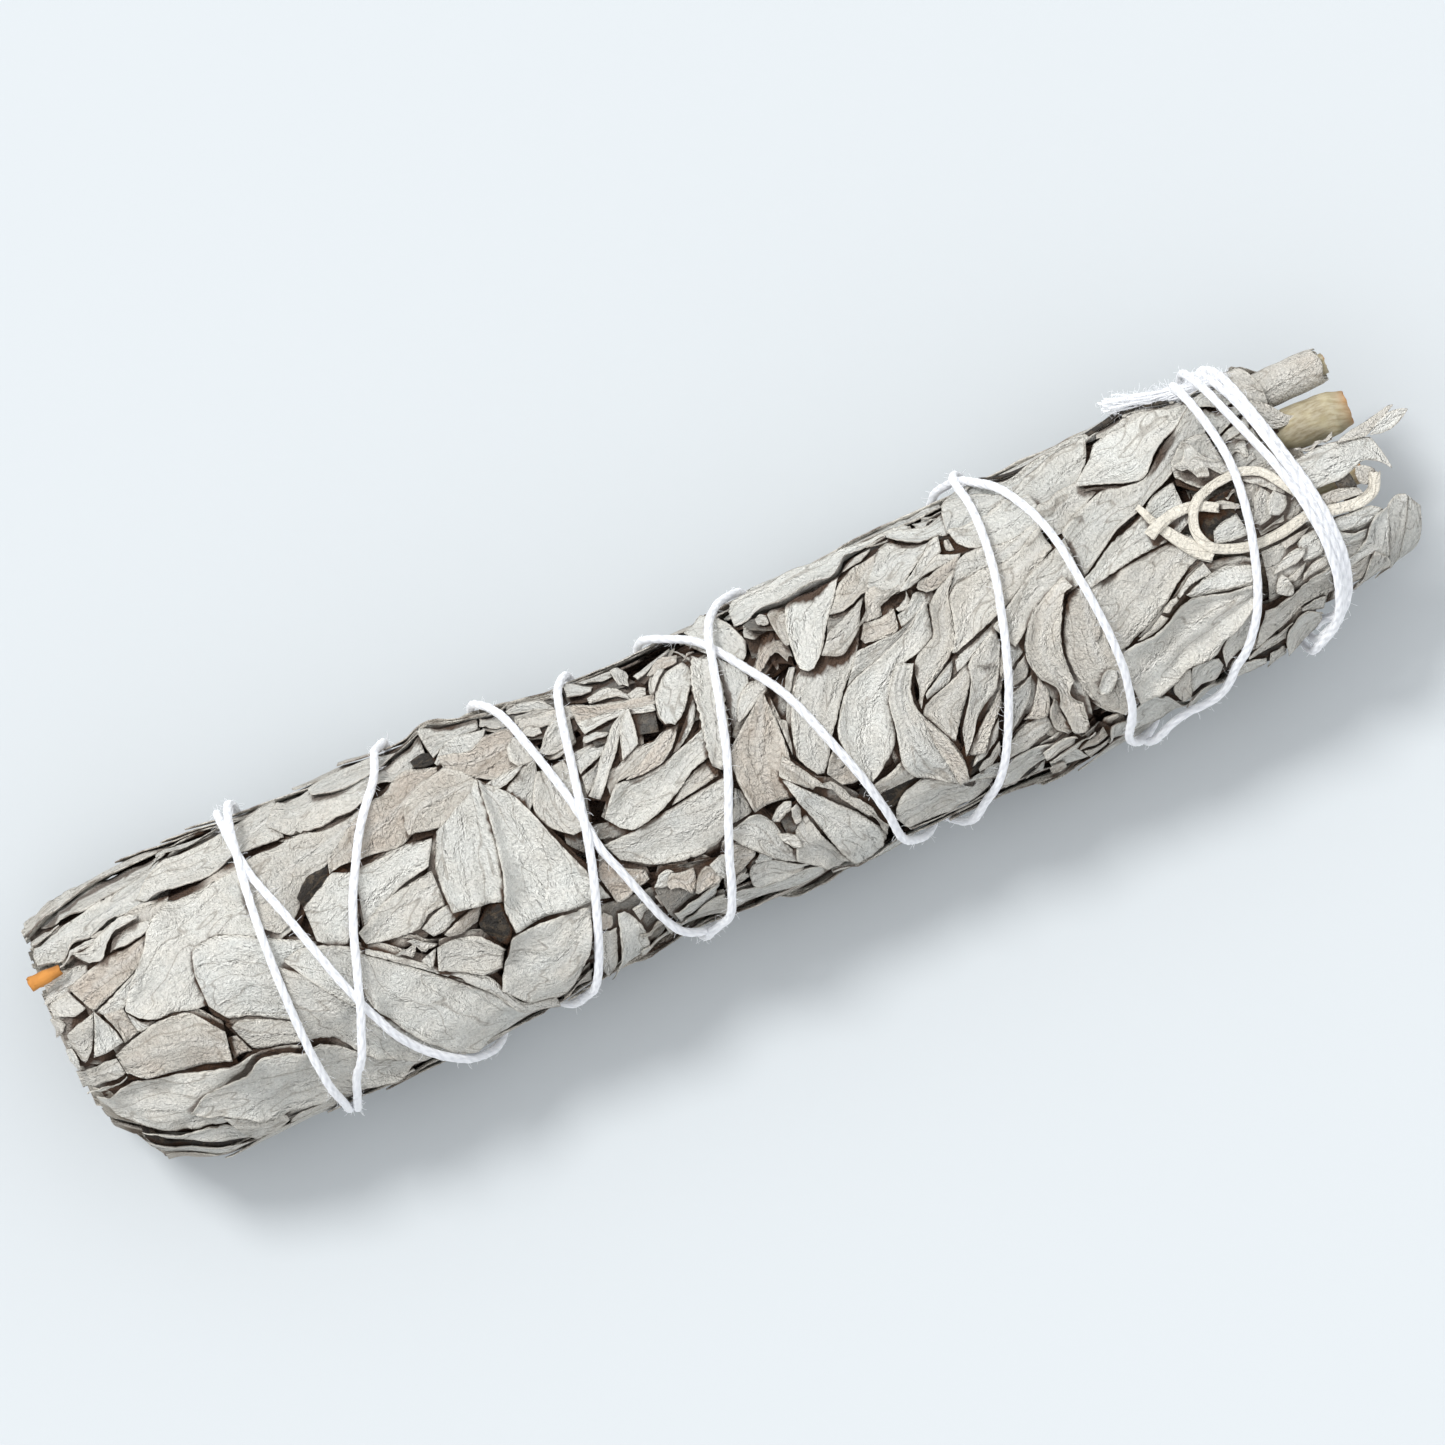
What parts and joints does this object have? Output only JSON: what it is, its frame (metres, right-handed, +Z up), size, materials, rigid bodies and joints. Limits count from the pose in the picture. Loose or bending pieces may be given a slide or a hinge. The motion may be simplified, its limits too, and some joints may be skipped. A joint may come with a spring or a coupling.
{
  "type": "dried sage bunch",
  "caption": "Bunch of dried white sage stems and broad pale leaves, bound along its length with crossed cotton string and knotted, lying on its side.",
  "frame": {"origin": "on the surface the bunch rests on, under the middle of its box", "axes": "+X along the bunch from the leafy end to the stem end, +Y across it, +Z up"},
  "size_m": [0.2325, 0.0531, 0.0446],
  "materials": {
    "outer_leaf": "dried sage leaf, pale grey, matt and downy",
    "cover_leaf": "dried sage leaf, beige, matt and wrinkled",
    "inner_leaf": "pressed dried sage leaves, matt",
    "stem": "dry woody stem, matt",
    "petiole": "dry leaf stalk, matt",
    "string": "white twisted cotton string, fuzzy"
  },
  "bodies": {
    "root": {"binding_string": "string", "curled_petiole": "petiole", "folded_leaf_01": "cover_leaf", "folded_leaf_02": "cover_leaf", "folded_leaf_03": "cover_leaf", "folded_leaf_04": "cover_leaf", "inner_leaves_1": "inner_leaf", "inner_leaves_2": "inner_leaf", "inner_leaves_3": "inner_leaf", "inner_leaves_4": "inner_leaf", "inner_leaves_5": "inner_leaf", "inner_leaves_6": "inner_leaf", "inner_leaves_middle": "inner_leaf", "leaf_pair_top_01": "cover_leaf", "leaf_pair_top_02": "cover_leaf", "leaf_pair_top_03": "cover_leaf", "leaf_pair_top_04": "cover_leaf", "leaf_pair_top_05": "cover_leaf", "leaf_pair_top_06": "cover_leaf", "leaf_pair_top_07": "cover_leaf", "leaf_pair_top_08": "cover_leaf", "leaf_pair_top_09": "cover_leaf", "leaf_pair_top_10": "cover_leaf", "leaf_pair_under_01": "cover_leaf", "leaf_pair_under_02": "cover_leaf", "leaf_pair_under_03": "cover_leaf", "leaf_pair_under_04": "cover_leaf", "leaf_pair_under_05": "cover_leaf", "leaf_pair_under_06": "cover_leaf", "leaf_pair_under_07": "cover_leaf", "leaf_pair_under_08": "cover_leaf", "leaf_top_01": "outer_leaf", "leaf_top_02": "outer_leaf", "leaf_top_03": "outer_leaf", "leaf_top_04": "outer_leaf", "leaf_top_05": "outer_leaf", "leaf_top_06": "outer_leaf", "leaf_top_07": "outer_leaf", "leaf_top_08": "outer_leaf", "leaf_top_09": "outer_leaf", "leaf_top_10": "outer_leaf", "leaf_top_11": "outer_leaf", "leaf_top_12": "outer_leaf", "leaf_top_13": "outer_leaf", "leaf_top_14": "outer_leaf", "leaf_top_15": "outer_leaf", "leaf_top_16": "outer_leaf", "leaf_top_17": "outer_leaf", "leaf_top_18": "outer_leaf", "leaf_top_19": "outer_leaf", "leaf_top_20": "outer_leaf", "rolled_leaf": "cover_leaf", "rolled_leaf_stem": "stem", "stem_1": "stem", "stem_2": "stem", "stem_3": "stem", "stem_4": "stem", "stem_5": "stem", "stem_6": "stem", "stem_middle": "stem"}
  },
  "joints": []
}
